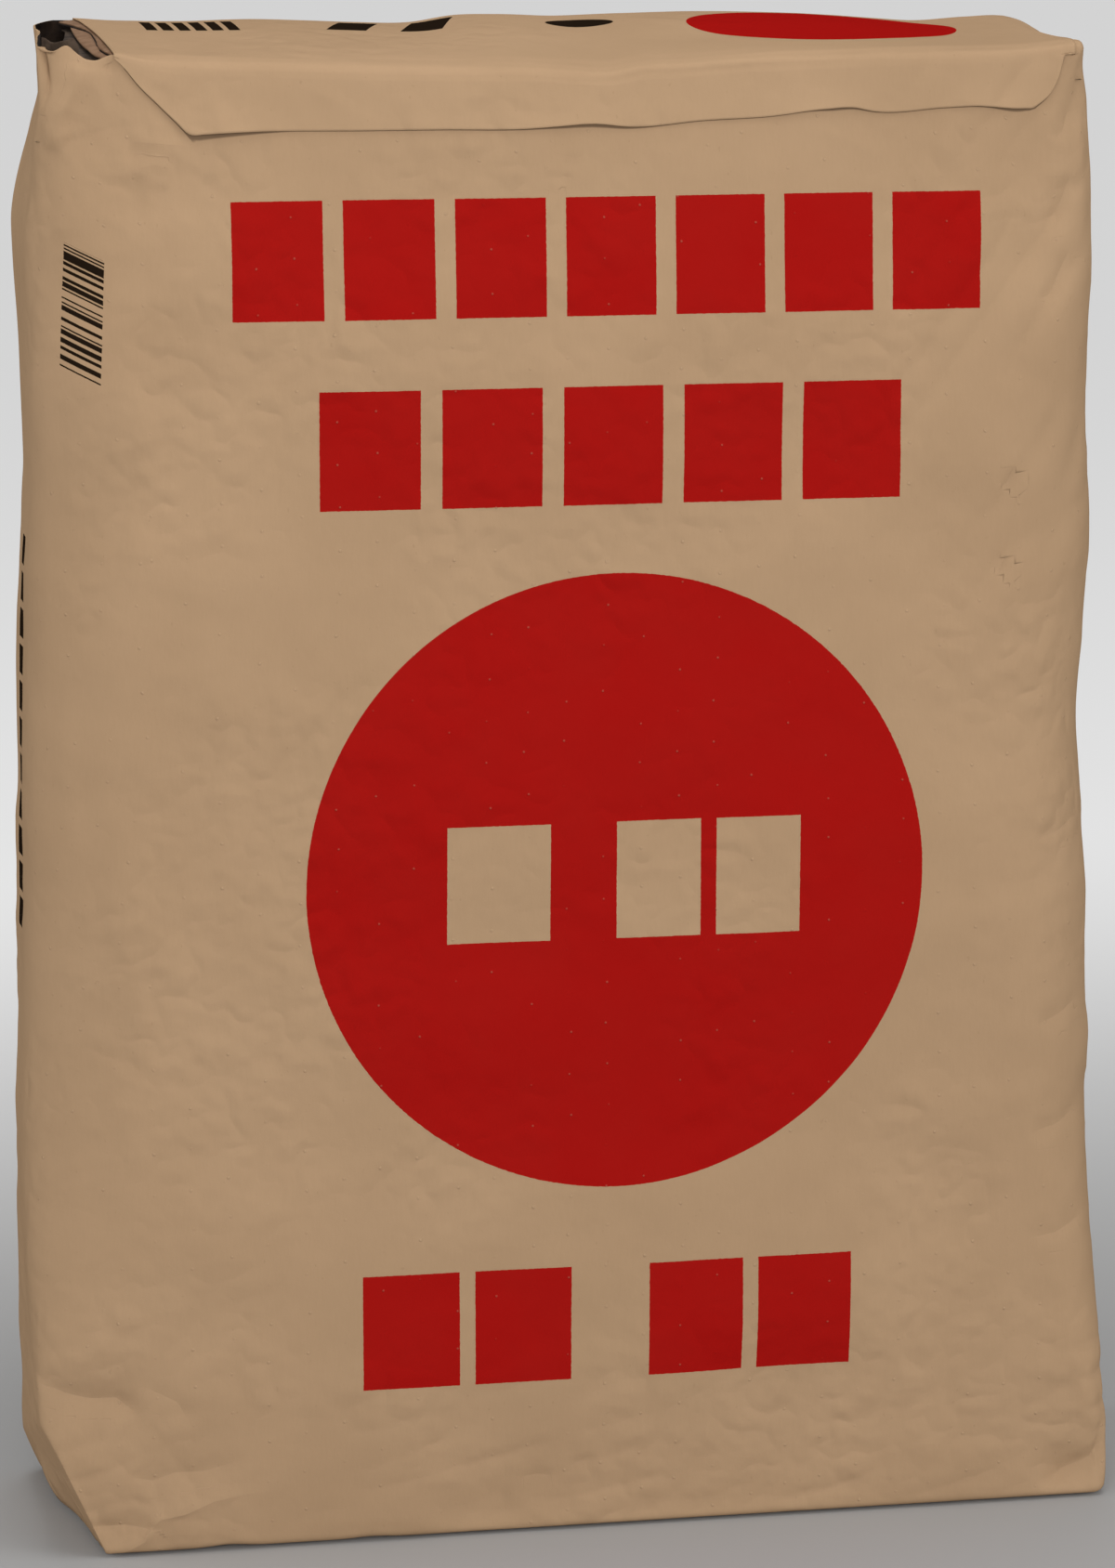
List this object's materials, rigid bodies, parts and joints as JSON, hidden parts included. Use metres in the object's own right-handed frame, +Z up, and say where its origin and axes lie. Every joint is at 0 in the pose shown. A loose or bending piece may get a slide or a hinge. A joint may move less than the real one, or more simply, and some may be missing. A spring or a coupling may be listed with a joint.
{
  "type": "bag of dry screed concrete",
  "caption": "Full kraft paper valve bag of dry screed concrete: a block standing on its folded end, with pasted cover sheets and an open valve corner.",
  "frame": {"origin": "on the floor, under the middle of the bag's bounding box", "axes": "+Z up the standing bag, -Y out of its front face, -X towards the valve corner"},
  "size_m": [0.4216, 0.121, 0.5754],
  "materials": {
    "kraft_paper": "matt brown kraft paper",
    "kraft_cover_paper": "matt light brown kraft paper",
    "kraft_inner_ply": "dusty brown inner ply",
    "dry_screed_mix": "dry grey powder and sand"
  },
  "bodies": {
    "root": {"paper_sack": "kraft_paper", "screed_mix": "dry_screed_mix", "valve_sleeve": "kraft_inner_ply", "top_cover_sheet": "kraft_cover_paper", "bottom_cover_sheet": "kraft_cover_paper"}
  },
  "joints": []
}
